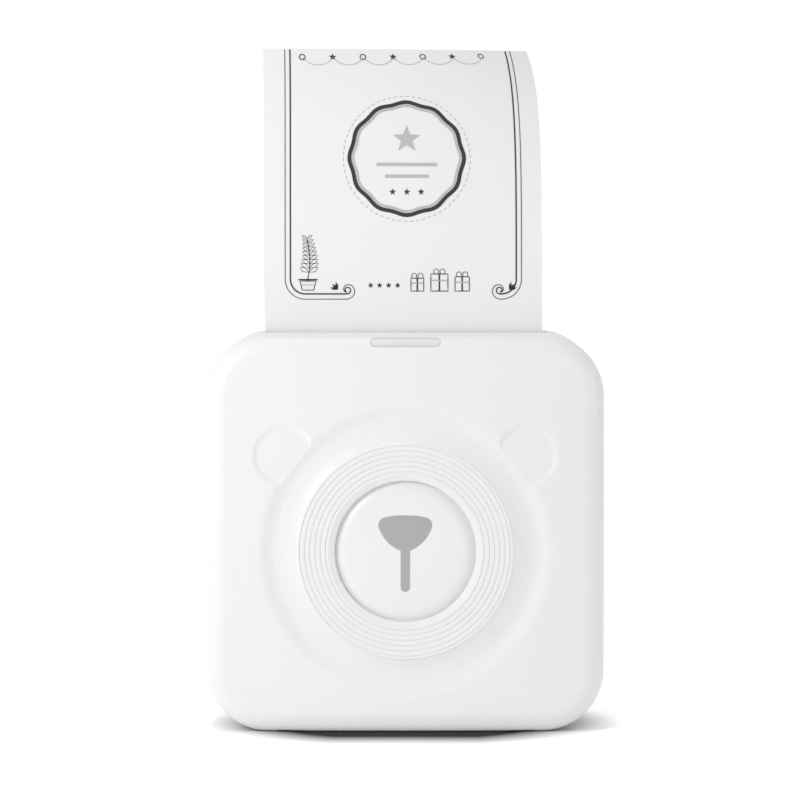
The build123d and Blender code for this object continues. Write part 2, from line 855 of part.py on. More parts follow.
def chassis():
    frame = slab_x(bay_profile(), -cheek_inner_x - cheek_wall / 2, cheek_inner_x + cheek_wall / 2)
    for side in (1, -1):
        low, high = sorted((side * cheek_inner_x, side * cheek_outer_x))
        frame += slab_x(cheek_outline(side), low, high)
    # Slots that the platen's bushes snap into from the front
    mouth = bush_radius - bush_lip
    slot = rod_x(bush_radius, 0, case_width, *platen_centre())
    slot += block((0, web_y - wall, print_line_z - mouth), (case_width, platen_y, print_line_z + mouth))
    frame -= both_sides(slot)
    # Bosses for the screws through the back of the case
    for x, z, boss_front in case_screw_places:
        boss = rod_y(chassis_boss_radius, boss_front, inner_back_y, x, z)
        rib = block((cheek_outer_x - 0.5, boss_front, z - 0.6), (x, inner_back_y, z + 0.6))
        frame += both_sides(boss + rib)
        frame -= both_sides(rod_y(pilot_radius, boss_front + 1, inner_back_y, x, z))
    # Drive side
    frame -= rod_x(idler_post_radius, -case_width, 0, *idler_centre())
    frame -= rod_x(motor_boss_radius, -case_width, 0, *motor_centre())
    for ear in motor_ears():
        frame -= rod_x(pilot_radius, -case_width, 0, *ear)
    sensor = sensor_block(fit_gap)
    return frame - sensor


def sensor_block(gap):
    """Paper sensor set through the wall behind the web."""
    return block(
        (sensor_x - sensor_size[0] / 2 - gap, bay_back_y - 0.8, guide_z - 2 - sensor_size[1] - gap),
        (sensor_x + sensor_size[0] / 2 + gap, bay_back_y + chassis_wall + 1.2, guide_z - 2 + gap),
    )


def paper_sensor():
    return sensor_block(0)


# Rear case


def knuckles():
    """One hinge knuckle of the case, on a riser from the floor behind the cover's lip."""
    low_x = lug_inner_x + lug_width + knuckle_gap
    riser_y = hinge_y + edge_radius + hinge_sweep_gap + 0.1
    half = tongue_height / 2
    tongue = polygon((hinge_y, hinge_z - half), (riser_y, hinge_z - half), (riser_y, wall / 2),
                     (riser_y + riser_depth, wall / 2), (riser_y + riser_depth, hinge_z + half),
                     (hinge_y, hinge_z + half))
    profile = tongue + Pos(hinge_y, hinge_z) * Circle(barrel_radius)
    knuckle = slab_x(profile, low_x, low_x + knuckle_width)
    return knuckle - rod_x(hinge_pin_radius + running_gap, 0, case_width, hinge_y, hinge_z)


def side_pill(width, length, x_low, x_high, y, z):
    """Pill-shaped bar along X, long side upright."""
    pill = Pos(y, z) * Rot(0, 0, 90) * SlotOverall(length, width)
    return slab_x(pill, x_low, x_high)


def rear_case():
    case = (case_body(0) - case_body(wall)) & rear_zone()
    # Slot edge and the ledge that the tear bar sits on
    tear_back = tear_front_y + tear_thickness
    case -= block(
        (-slot_half_width, web_y - wall, ledge_low_z),
        (slot_half_width, tear_back, case_height + 1),
    )
    case += block(
        (-slot_half_width, tear_back, ledge_low_z),
        (slot_half_width, tear_back + ledge_depth, case_height - wall / 2),
    )
    case += both_sides(rod_y(tear_peg_radius, tear_front_y, tear_back, tear_peg_x, tear_peg_z))
    # Standoffs of the board
    for x, z in board_screw_places:
        case += rod_y(standoff_radius, board_back_y, inner_back_y + wall / 2, x, z)
        case -= rod_y(pilot_radius, board_back_y - 1, inner_back_y, x, z)
    # Hinge knuckles and the ribs beside the battery
    case += both_sides(knuckles())
    rib_x = battery_size[0] / 2 + fit_gap
    case += both_sides(block((rib_x, battery_back_y - battery_size[1], wall / 2),
                             (rib_x + 1, battery_back_y, wall + 0.4 * battery_size[2])))
    # Screw holes from the back
    for x, z, _ in case_screw_places:
        case -= both_sides(rod_y(pilot_radius + 0.3, 0, case_depth, x, z))
        case -= both_sides(rod_y(screw_head_radius + fit_gap, back_y - screw_head_height - fit_gap,
                                 case_depth, x, z))
    # Side controls
    case -= side_pill(button_width + 2 * fit_gap, button_length + 2 * fit_gap, inner_side_x - 1,
                      case_width, button_y, button_z)
    usb_low = board_front_y - usb_size[1]
    case -= block(
        (inner_side_x - 1, usb_low - usb_mouth_gap, usb_z - usb_size[2] / 2 - usb_mouth_gap),
        (case_width, board_front_y + usb_mouth_gap, usb_z + usb_size[2] / 2 + usb_mouth_gap),
    )
    case -= rod_x(reset_radius, inner_side_x - 1, case_width, button_y, reset_z)
    return case


def tear_bar():
    """Thin steel strip with a toothed upper edge, slipped over two pegs."""
    half = slot_half_width - fit_gap
    count = int(2 * half / tooth_pitch)
    step = 2 * half / count
    points = [(-half, tear_low_z), (half, tear_low_z)]
    for index in range(count):
        x = half - index * step
        points += [(x, tear_high_z - tooth_height), (x - step / 2, tear_high_z)]
    points.append((-half, tear_high_z - tooth_height))
    blade = extrude(Plane.XZ.offset(-tear_front_y - tear_thickness) * polygon(*points), tear_thickness)
    return blade - both_sides(rod_y(tear_peg_radius, -case_depth, case_depth, tear_peg_x, tear_peg_z))


# Lining of the cover


def lining_profile():
    """Front half of the roll's cradle, wall ahead of the paper, guide rib and head pocket."""
    centre = (roll_y, roll_z)
    lean = web_angle()
    inner, outer = cradle_radius, cradle_radius + lining_wall
    cradle = sector(centre, inner, outer, 180 - lean, lining_end)
    guide = guide_centre()
    low_in, low_out = polar(centre, inner, 180 - lean), polar(centre, outer, 180 - lean)
    run = web_length()
    forward = (math.sin(math.radians(lean)), math.cos(math.radians(lean)))
    high_in = (low_in[0] + run * forward[0], low_in[1] + run * forward[1])
    high_out = (low_out[0] + run * forward[0], low_out[1] + run * forward[1])
    web = polygon(low_in, high_in, guide, high_out, low_out)
    rib = Pos(*guide) * Circle(guide_radius)
    floor_low = guide_z - guide_radius + 0.2
    pocket_floor = polygon(
        (head_pocket_y - lining_wall, floor_low),
        (guide[0], floor_low),
        (guide[0], floor_low + lining_wall),
        (head_pocket_y - lining_wall, floor_low + lining_wall),
    )
    pocket_back = polygon(
        (head_pocket_y - lining_wall, floor_low),
        (head_pocket_y, floor_low),
        (head_pocket_y, lining_top_z),
        (head_pocket_y - lining_wall, lining_top_z),
    )
    return cradle + web + rib + pocket_floor + pocket_back


def lining_flange():
    """End wall of the lining in (Y, Z), which carries the head's pivot pin at its top."""
    centre = (roll_y, roll_z)
    lean = web_angle()
    low = polar(centre, cradle_radius + lining_wall, lining_end)
    belly = polar(centre, cradle_radius + lining_wall, 180)
    web_low = polar(centre, cradle_radius + lining_wall, 180 - lean)
    floor_low = guide_z - guide_radius + 0.2
    pocket = head_pocket_y - lining_wall
    web_high_y = web_low[0] + (floor_low - web_low[1]) * math.tan(math.radians(lean))
    rear_high = head_pivot_y + 2.0
    return polygon(
        low, belly, web_low, (web_high_y, floor_low) if web_high_y < pocket else (pocket, floor_low - 4),
        (pocket, floor_low), (pocket, lining_top_z), (rear_high, lining_top_z), (rear_high, floor_low + 3),
        (lining_tab_y, floor_low), (lining_tab_y, low[1] + 3),
    )


def cover_lining():
    inner = lining_half_width - lining_wall
    lining = slab_x(lining_profile(), -inner - lining_wall / 2, inner + lining_wall / 2)
    lining += both_sides(slab_x(lining_flange(), inner, lining_half_width))
    for x, z in lining_screw_places:
        tab = block(
            (lining_half_width - lining_wall / 2, lining_tab_y - lining_wall, z - lining_tab_height / 2),
            (lining_half_width + lining_tab_width, lining_tab_y, z + lining_tab_height / 2),
        )
        lining += both_sides(tab - rod_y(pilot_radius + 0.2, -case_depth, case_depth, x, z))
    lining -= rod_x(head_pin_radius, -case_width, case_width, head_pivot_y, head_pivot_z)
    # Pegs that hold the head's springs
    lining += both_sides(rod_y(spring_peg_radius, head_pocket_y - lining_wall / 2,
                               head_pocket_y + spring_peg_length, spring_x, spring_z))
    # Opening for the head's ribbon
    return lining - block(
        (ribbon_x - ribbon_width / 2 - 0.5, -case_depth, ribbon_pass_z() - 0.8),
        (ribbon_x + ribbon_width / 2 + 0.5, head_pocket_y + 1, ribbon_pass_z() + 0.8),
    )


def lining_screws():
    screws = []
    for x, z in lining_screw_places:
        screw = screw_y(x, z, lining_tab_y, -1, pilot_radius, lining_wall + screw_length - 1)
        screws.append(both_sides(screw))
    return screws[0] + screws[1]


# Print head


def head_back_y():
    return head_face_y - ceramic_thickness - sink_thickness


def ceramic_strip():
    return block((-head_half_width, head_face_y - ceramic_thickness, ceramic_low_z),
                 (head_half_width, head_face_y, ceramic_high_z))


def heat_sink():
    back = head_back_y()
    sink = block((-head_half_width, back, sink_low_z), (head_half_width, back + sink_thickness, sink_high_z))
    return chamfer(sink.edges().filter_by(Axis.X), 0.3)


def head_bracket():
    """Pressed steel back plate whose two ears turn on the pivot pin."""
    back = head_back_y()
    plate = block((-head_half_width, back - bracket_thickness, sink_low_z),
                  (head_half_width, back, sink_high_z))
    ear = Pos(head_pivot_y, head_pivot_z) * Circle(1.8) + polygon(
        (back, head_pivot_z - 1.8), (back, head_pivot_z + bracket_ear_reach),
        (back - bracket_thickness, head_pivot_z + bracket_ear_reach),
        (head_pivot_y, head_pivot_z + 1.8), (head_pivot_y, head_pivot_z - 1.8),
    )
    ears = both_sides(slab_x(ear, head_half_width - bracket_thickness, head_half_width))
    bracket = plate + ears
    return bracket - rod_x(head_pin_radius + running_gap, -case_width, case_width, head_pivot_y, head_pivot_z)


def head_pin():
    return rod_x(head_pin_radius, -lining_half_width, lining_half_width, head_pivot_y, head_pivot_z)


def head_spring(side):
    """Coil spring between the lining's peg and the bracket, as quarter-turn arcs."""
    start = head_pocket_y + spring_wire / 2
    end = head_back_y() - bracket_thickness - spring_end_gap - spring_wire / 2
    quarters = 4 * spring_turns

    def on_helix(quarter):
        angle = math.pi / 2 * quarter
        return (side * spring_x + spring_radius * math.cos(angle),
                start + (end - start) * quarter / quarters,
                spring_z + spring_radius * math.sin(angle))

    arcs = [ThreePointArc(on_helix(q), on_helix(q + 0.5), on_helix(q + 1)) for q in range(quarters)]
    path = Wire(arcs)
    section = Plane(origin=path @ 0, z_dir=path % 0) * Circle(spring_wire / 2)
    return sweep(section, path=path)


def head_springs():
    return head_spring(1) + head_spring(-1)


# Electronics, battery and cables


def main_board():
    board = block((board_low[0], board_front_y, board_low[1]), (board_high[0], board_back_y, board_high[1]))
    board = chamfer(board.edges().filter_by(Axis.Y), 1.0)
    for x, z in board_screw_places:
        board -= rod_y(pilot_radius + 0.2, 0, case_depth, x, z)
    return board


def on_board(x, z, width, height, thickness):
    """Block on the front of the main board."""
    return block((x - width / 2, board_front_y - thickness, z - height / 2),
                 (x + width / 2, board_front_y, z + height / 2))


def board_chips():
    chips = []
    for across, up, width, height, thickness in chip_places:
        chips.append(on_board(board_low[0] + across, board_low[1] + up, width, height, thickness))
    return Part() + chips


def radio_module():
    """Small radio board with a shielded end and a bare aerial end."""
    x, z = board_low[0] + radio_place[0], board_low[1] + radio_place[1]
    width, height, thickness = radio_size
    carrier = on_board(x, z, width, height, thickness)
    can_width, can_height, can_thickness = radio_can_size
    low_x, front = x - width / 2 + 1, board_front_y - thickness
    can = block((low_x, front - can_thickness, z - can_height / 2),
                (low_x + can_width, front, z + can_height / 2))
    return carrier + can


def battery_lead_points():
    """Route of the battery's leads, from its end up to their socket."""
    low_z = battery_low_z + battery_size[2] / 2
    side_x = cheek_outer_x + 2.2
    turn_z = board_low[1] - 3
    lead_y = board_front_y - 2.0
    return [(battery_size[0] / 2, 2.5, low_z), (side_x, 2.5, low_z), (side_x, 2.5, turn_z),
            (side_x, lead_y, turn_z), (24.0, lead_y, turn_z), (24.0, lead_y, board_low[1] + 0.8)]


def board_sockets():
    """Sockets for the battery, the motor and, behind the board, the head's ribbon."""
    battery_socket = on_board(24.5, board_low[1] + 2.8, 6.0, 4.0, 3.4)
    motor = motor_centre()
    motor_socket = on_board(board_low[0] + 3.0, motor[1], 4.0, 8.0, 3.0)
    ribbon_socket = block((ribbon_x - ribbon_width / 2 - 1, board_back_y, board_low[1] + 1),
                          (ribbon_x + ribbon_width / 2 + 1, board_back_y + 2.2, board_low[1] + 5))
    return Part() + [battery_socket, motor_socket, ribbon_socket]


def usb_socket():
    """Micro-USB shell, open at the case's side, with its tongue."""
    length, thick, width = usb_size
    skin = 0.3
    front = half_width - 0.5
    low_y = board_front_y - thick
    shell = block((front - length, low_y, usb_z - width / 2), (front, board_front_y, usb_z + width / 2))
    shell -= block((front - length + 1, low_y + skin, usb_z - width / 2 + skin),
                   (front + 1, board_front_y - skin, usb_z + width / 2 - skin))
    tongue = block((front - length + 0.5, low_y + thick / 2 - 0.1, usb_z - width / 2 + 1.4),
                   (front - 0.8, low_y + thick / 2 + 0.5, usb_z + width / 2 - 1.4))
    return shell + tongue


def tact_switch(y_middle, z, width):
    """Side-facing switch on the board's edge, with its plunger toward the wall."""
    body_high = board_high[0] - 0.4
    body = on_board(body_high - 1.8, z, 3.6, width, 3.6)
    tip = inner_side_x - button_flange - 0.1 - button_travel - 0.05
    return body + rod_x(0.8, body_high, tip, y_middle, z)


def power_button():
    """Flush pill in the right wall with a flange inside that keeps it in."""
    flange_high = inner_side_x - 0.1
    flange_low = flange_high - button_flange
    cap = side_pill(button_width, button_length, flange_low, half_width - 0.1, button_y, button_z)
    rim = side_pill(button_width + 1.4, button_length + 1.4, flange_low, flange_high, button_y, button_z)
    return cap + rim


def battery():
    width, depth, height = battery_size
    cell = block((-width / 2, battery_back_y - depth, battery_low_z),
                 (width / 2, battery_back_y, battery_low_z + height))
    return fillet(cell.edges().filter_by(Axis.X), 1.0)


def battery_tape():
    width, depth, _ = battery_size
    return block((-width / 2 + 4, battery_back_y - depth + 4, wall), (width / 2 - 4, battery_back_y - 4,
                                                                       battery_low_z))


def lead_pair():
    """Two leads side by side that keep their spacing round every bend."""
    points = [Vector(*point) for point in battery_lead_points()]
    path = FilletPolyline(*points, radius=2.5)
    half = lead_radius + 0.05
    start = Plane(origin=path @ 0, x_dir=(0, 1, 0), z_dir=path % 0)
    pair = start * (Pos(half, 0) * Circle(lead_radius) + Pos(-half, 0) * Circle(lead_radius))
    return sweep(pair, path=path)


def motor_leads():
    """Four short wires from the motor's end to its socket."""
    start = -cheek_inner_x + motor_plate + motor_length
    y, z = board_front_y - 1.5, motor_centre()[1]
    wires = [rod_x(0.4, start, board_low[0] + 1.0, y, z + step) for step in (-1.5, -0.5, 0.5, 1.5)]
    return Part() + wires


def ribbon_pass_z():
    """Height at which the head's ribbon passes through the lining."""
    return guide_z + 3.4


def ribbon_slab(profile):
    return slab_x(profile, ribbon_x - ribbon_width / 2, ribbon_x + ribbon_width / 2)


def head_ribbon():
    """Ribbon from the head forward through the lining and down to the hinge."""
    bend = 1.2
    start = (head_back_y() - bracket_thickness - 0.1 - 1.0, ribbon_pass_z())
    drop_y = crown_y(nose_z - hinge_z) + wall + 0.45
    first_y = head_pocket_y - lining_wall - 2.6
    slope = math.degrees(math.atan2(first_y - drop_y, ribbon_pass_z() - roll_z - bend))
    reach = start[0] - first_y - bend
    fall = (ribbon_pass_z() - bend - roll_z) / math.cos(math.radians(slope))
    moves = [
        ("line", reach),
        ("arc", bend, 90 - slope),
        ("line", fall),
        ("arc", 10.0, slope),
        ("line", roll_z - hinge_z - 3.0),
    ]
    return ribbon_slab(band(start, 180, moves, ribbon_thickness))


def board_ribbon():
    """Ribbon from its loop round the hinge, over the battery and up to the board."""
    loop = ribbon_loop_radius
    bend = 1.2
    run_z = battery_low_z + battery_size[2] + 0.5
    start = polar((hinge_y, hinge_z), loop, 150)
    rise_y = inner_back_y - 1.0
    moves = [
        ("arc", loop, 210),
        ("line", run_z - bend - hinge_z),
        ("arc", bend, -90),
        ("line", rise_y - bend - (hinge_y + loop + bend)),
        ("arc", bend, 90),
        ("line", board_low[1] + 1 - run_z - bend),
    ]
    return ribbon_slab(band(start, 240, moves, ribbon_thickness))


# Fasteners


def case_screws():
    screws = []
    for x, z, _ in case_screw_places:
        seat = back_y - screw_head_height - fit_gap
        screws.append(both_sides(screw_y(x, z, seat, -1, pilot_radius, screw_length - 1)))
    return screws[0] + screws[1]


def board_screws():
    return Part() + [screw_y(x, z, board_front_y, 1, pilot_radius, board_thickness + 2.5)
                     for x, z in board_screw_places]


builders = {
    "rear_case": rear_case,
    "front_cover": front_cover,
    "nose_cap": nose_cap,
    "nose_mark": nose_mark,
    "status_window": status_window,
    "status_board": status_board,
    "hinge_pins": hinge_pins,
    "chassis": chassis,
    "platen_bushes": platen_bushes,
    "platen_shaft": platen_shaft,
    "platen_rubber": platen_rubber,
    "platen_gear": platen_gear,
    "idler_gear": idler_gear,
    "idler_post": idler_post,
    "drive_pinion": drive_pinion,
    "motor_shaft": motor_shaft,
    "stepper_motor": stepper_motor,
    "motor_screws": motor_screws,
    "paper_sensor": paper_sensor,
    "tear_bar": tear_bar,
    "paper_roll": paper_roll,
    "roll_core": roll_core,
    "paper_strip": paper_strip,
    "cover_lining": cover_lining,
    "lining_screws": lining_screws,
    "ceramic_strip": ceramic_strip,
    "heat_sink": heat_sink,
    "head_bracket": head_bracket,
    "head_pin": head_pin,
    "head_springs": head_springs,
    "main_board": main_board,
    "board_chips": board_chips,
    "board_sockets": board_sockets,
    "radio_module": radio_module,
    "usb_socket": usb_socket,
    "power_switch": lambda: tact_switch(button_y, button_z, 6.0),
    "reset_switch": lambda: tact_switch(button_y, reset_z, 2.6),
    "power_button": power_button,
    "battery": battery,
    "battery_tape": battery_tape,
    "battery_leads": lead_pair,
    "motor_leads": motor_leads,
    "head_ribbon": head_ribbon,
    "board_ribbon": board_ribbon,
    "case_screws": case_screws,
    "board_screws": board_screws,
}

os.makedirs("parts", exist_ok=True)
for name, build in builders.items():
    export_step(build(), os.path.join("parts", name + ".step"))
    print(name)
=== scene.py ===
import math
import random
import bmesh
import bpy
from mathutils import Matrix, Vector


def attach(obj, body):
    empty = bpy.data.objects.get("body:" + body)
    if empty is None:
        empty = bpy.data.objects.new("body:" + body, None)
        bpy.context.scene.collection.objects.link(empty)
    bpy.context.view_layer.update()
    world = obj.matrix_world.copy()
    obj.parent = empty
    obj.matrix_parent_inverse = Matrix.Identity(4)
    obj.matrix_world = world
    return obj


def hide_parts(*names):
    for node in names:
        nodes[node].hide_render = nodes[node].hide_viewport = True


# Dresses the pocket printer. New shapes are worked out in millimetres and scaled to metres.
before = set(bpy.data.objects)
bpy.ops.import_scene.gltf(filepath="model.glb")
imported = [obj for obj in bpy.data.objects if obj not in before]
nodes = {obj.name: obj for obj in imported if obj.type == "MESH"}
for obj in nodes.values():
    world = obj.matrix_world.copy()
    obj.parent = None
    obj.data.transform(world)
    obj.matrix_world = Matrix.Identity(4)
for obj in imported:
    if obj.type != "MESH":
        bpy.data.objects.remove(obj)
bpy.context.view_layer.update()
random.seed(7)
mm = 0.001

sceneView = {
    "aim": (-1.1, -6.0, 68.8),  # what the middle of the picture looks at
    "distance": 950.0,
    "pitch": 2.5,  # degrees downwards
    "lens": 203.0,
    "sensor": 36.0,
    "clipStart": 0.01,
}

studioLights = {
    # place, size, watts, colour
    "keySoftbox": ((-275, -290, 245), 120, 0.48, (1.0, 0.998, 0.995)),
    "leftStrip": ((-400, -170, 130), 80, 0.26, (1.0, 1.0, 1.0)),
    "lowFront": ((30, -430, 24), 90, 0.05, (1.0, 1.0, 1.0)),
    "topPanel": ((-40, -60, 480), 160, 0.17, (1.0, 1.0, 1.0)),
    "rightPanel": ((420, -160, 150), 160, 0.22, (0.995, 0.998, 1.0)),
}

studio = {
    "lampAim": (0, 0, 50),
    "floorSize": 3.0,  # metres
    "floorSeen": (1.6, 2.2),  # near and far
    "floorFade": (0.12, 1.2),  # metres from near to far
    "floorLit": 1.0,
    "worldLit": 0.57,
    # colour of the painted contact shadow on the floor, standing in for the case's shade
    "paintedShadowTone": 0.05,
    "contact": (44.0, 45.0),  # half width and half depth of the painted shadow under the case
    "contactFade": (0.66, 1.05),  # parts of those, where the painted shadow fades out
    "foot": (40.0, 21.0),  # half sizes of the case's foot
    "footFade": (4.5, 24.0),  # distance from the foot over which the painted shadow fades
}


def newPiece(name, bm, material, body):
    for face in bm.faces:
        face.smooth = True
    for edge in bm.edges:
        if edge.is_boundary:
            edge.smooth = False
    bmesh.ops.scale(bm, vec=(mm, mm, mm), verts=bm.verts)
    mesh = bpy.data.meshes.new(name)
    bm.to_mesh(mesh)
    bm.free()
    mesh.materials.append(material)
    piece = bpy.data.objects.new(name, mesh)
    bpy.context.scene.collection.objects.link(piece)
    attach(piece, body)
    return piece


def thicken(piece, thickness, offset=0.0):
    solid = piece.modifiers.new("Solidify", "SOLIDIFY")
    solid.thickness = thickness * mm
    solid.offset = offset


# Materials

def startMaterial(name):
    material = bpy.data.materials.new(name)
    material.use_nodes = True
    tree = material.node_tree
    shader = tree.nodes["Principled BSDF"]
    coords = tree.nodes.new("ShaderNodeTexCoord").outputs["Object"]
    return material, tree, shader, coords


def noise(tree, coords, scale, detail=2.0, stretch=(1, 1, 1)):
    mapping = tree.nodes.new("ShaderNodeMapping")
    mapping.inputs["Scale"].default_value = stretch
    tree.links.new(coords, mapping.inputs["Vector"])
    texture = tree.nodes.new("ShaderNodeTexNoise")
    texture.inputs["Scale"].default_value = scale
    texture.inputs["Detail"].default_value = detail
    tree.links.new(mapping.outputs["Vector"], texture.inputs["Vector"])
    return texture.outputs["Fac"]


def spread(tree, factor, low, high, fromLow=0.3, fromHigh=0.7):
    mapped = tree.nodes.new("ShaderNodeMapRange")
    mapped.inputs["From Min"].default_value = fromLow
    mapped.inputs["From Max"].default_value = fromHigh
    mapped.inputs["To Min"].default_value = low
    mapped.inputs["To Max"].default_value = high
    tree.links.new(factor, mapped.inputs["Value"])
    return mapped.outputs["Result"]


def mixColours(tree, factor, first, second):
    mix = tree.nodes.new("ShaderNodeMix")
    mix.data_type = "RGBA"
    for socket, value in (("A", first), ("B", second)):
        target = [s for s in mix.inputs if s.name == socket and s.type == "RGBA"][0]
        if hasattr(value, "is_linked"):
            tree.links.new(value, target)
        else:
            target.default_value = (*value, 1)
    tree.links.new(factor, [s for s in mix.inputs if s.name == "Factor"][0])
    return [s for s in mix.outputs if s.type == "RGBA"][0]


def tintSurface(tree, shader, factor, first, second):
    tree.links.new(mixColours(tree, factor, first, second), shader.inputs["Base Color"])


def varyRoughness(tree, shader, factor, low, high, fromLow=0.3, fromHigh=0.7):
    varied = spread(tree, factor, low, high, fromLow, fromHigh)
    tree.links.new(varied, shader.inputs["Roughness"])


def bump(tree, shader, height, strength, distance):
    node = tree.nodes.new("ShaderNodeBump")
    node.inputs["Strength"].default_value = strength
    node.inputs["Distance"].default_value = distance * mm
    tree.links.new(height, node.inputs["Height"])
    tree.links.new(node.outputs["Normal"], shader.inputs["Normal"])


def shade(colour, factor):
    return tuple(min(1.0, c * factor) for c in colour)


def mouldedPlastic(name, colour, roughness, grain=2600, strength=0.12, coat=0.0):
    material, tree, shader, coords = startMaterial(name)
    cloud = spread(tree, noise(tree, coords, scale=28, detail=3), 0, 1)
    tintSurface(tree, shader, cloud, shade(colour, 0.985), colour)
    sheen = noise(tree, coords, scale=110, detail=3)
    varyRoughness(tree, shader, sheen, roughness - 0.02, roughness + 0.02, 0.1, 0.9)
    bump(tree, shader, noise(tree, coords, grain), strength, distance=0.006)
    shader.inputs["Coat Weight"].default_value = coat
    shader.inputs["Coat Roughness"].default_value = 0.12
    return material


def brushedMetal(name, colour, roughness, stretch, grain=500):
    material, tree, shader, coords = startMaterial(name)
    shader.inputs["Metallic"].default_value = 1.0
    lines = noise(tree, coords, grain, detail=4, stretch=stretch)
    tintSurface(tree, shader, spread(tree, lines, 0, 1), shade(colour, 0.86), colour)
    varyRoughness(tree, shader, lines, roughness - 0.08, roughness + 0.1)
    bump(tree, shader, lines, strength=0.25, distance=0.004)
    return material


def rubberMaterial(name, colour):
    material, tree, shader, coords = startMaterial(name)
    dust = spread(tree, noise(tree, coords, scale=300, detail=4), 0, 1)
    tintSurface(tree, shader, dust, colour, shade(colour, 2.2))
    shader.inputs["Roughness"].default_value = 0.72
    ground = noise(tree, coords, scale=2400, detail=3, stretch=(0.3, 1, 1))
    bump(tree, shader, ground, strength=0.35, distance=0.01)
    return material


def paperMaterial(name, colour, roughness):
    material, tree, shader, coords = startMaterial(name)
    fibres = noise(tree, coords, scale=900, detail=5, stretch=(1, 1, 0.35))
    clouds = spread(tree, noise(tree, coords, scale=60, detail=4), 0, 1)
    tintSurface(tree, shader, clouds, shade(colour, 0.985), colour)
    varyRoughness(tree, shader, fibres, roughness - 0.05, roughness + 0.06)
    bump(tree, shader, fibres, strength=0.15, distance=0.008)
    return material


def boardMaterial(name, mask, copper):
    material, tree, shader, coords = startMaterial(name)
    bricks = tree.nodes.new("ShaderNodeTexVoronoi")
    bricks.inputs["Scale"].default_value = 260
    tree.links.new(coords, bricks.inputs["Vector"])
    traces = spread(tree, bricks.outputs["Distance"], 0, 1, 0.35, 0.5)
    tintSurface(tree, shader, traces, copper, mask)
    shader.inputs["Roughness"].default_value = 0.32
    bump(tree, shader, traces, strength=0.2, distance=0.02)
    return material


def gearMaterial(name, colour):
    material, tree, shader, coords = startMaterial(name)
    flow = spread(tree, noise(tree, coords, scale=120, detail=3), 0, 1)
    tintSurface(tree, shader, flow, shade(colour, 0.94), colour)
    shader.inputs["Roughness"].default_value = 0.38
    shader.inputs["Subsurface Weight"].default_value = 0.15
    shader.inputs["Subsurface Radius"].default_value = (0.001, 0.0008, 0.0006)
    bump(tree, shader, noise(tree, coords, scale=1800), strength=0.1, distance=0.006)
    return material


def foilMaterial(name, colour):
    material, tree, shader, coords = startMaterial(name)
    shader.inputs["Metallic"].default_value = 0.75
    creases = noise(tree, coords, scale=90, detail=5)
    tintSurface(tree, shader, spread(tree, creases, 0, 1), shade(colour, 0.85), colour)
    shader.inputs["Roughness"].default_value = 0.4
    bump(tree, shader, creases, strength=0.3, distance=0.08)
    return material


def clothTape(name, colour):
    material, tree, shader, coords = startMaterial(name)
    weave = noise(tree, coords, scale=1500)
    tintSurface(tree, shader, spread(tree, weave, 0, 1), shade(colour, 0.85), colour)
    shader.inputs["Roughness"].default_value = 0.8
    bump(tree, shader, weave, strength=0.4, distance=0.03)
    return material


def ribbonMaterial(name, film, copper, pitch=1.0):
    material, tree, shader, coords = startMaterial(name)
    separate = tree.nodes.new("ShaderNodeSeparateXYZ")
    tree.links.new(coords, separate.inputs["Vector"])
    wave = tree.nodes.new("ShaderNodeMath")
    wave.operation = "PINGPONG"
    wave.inputs[1].default_value = pitch * mm / 2
    tree.links.new(separate.outputs["X"], wave.inputs[0])
    lines = spread(tree, wave.outputs[0], 0, 1, 0.17 * pitch * mm, 0.24 * pitch * mm)
    tintSurface(tree, shader, lines, film, copper)
    shader.inputs["Roughness"].default_value = 0.3
    bump(tree, shader, lines, strength=0.2, distance=0.03)
    return material


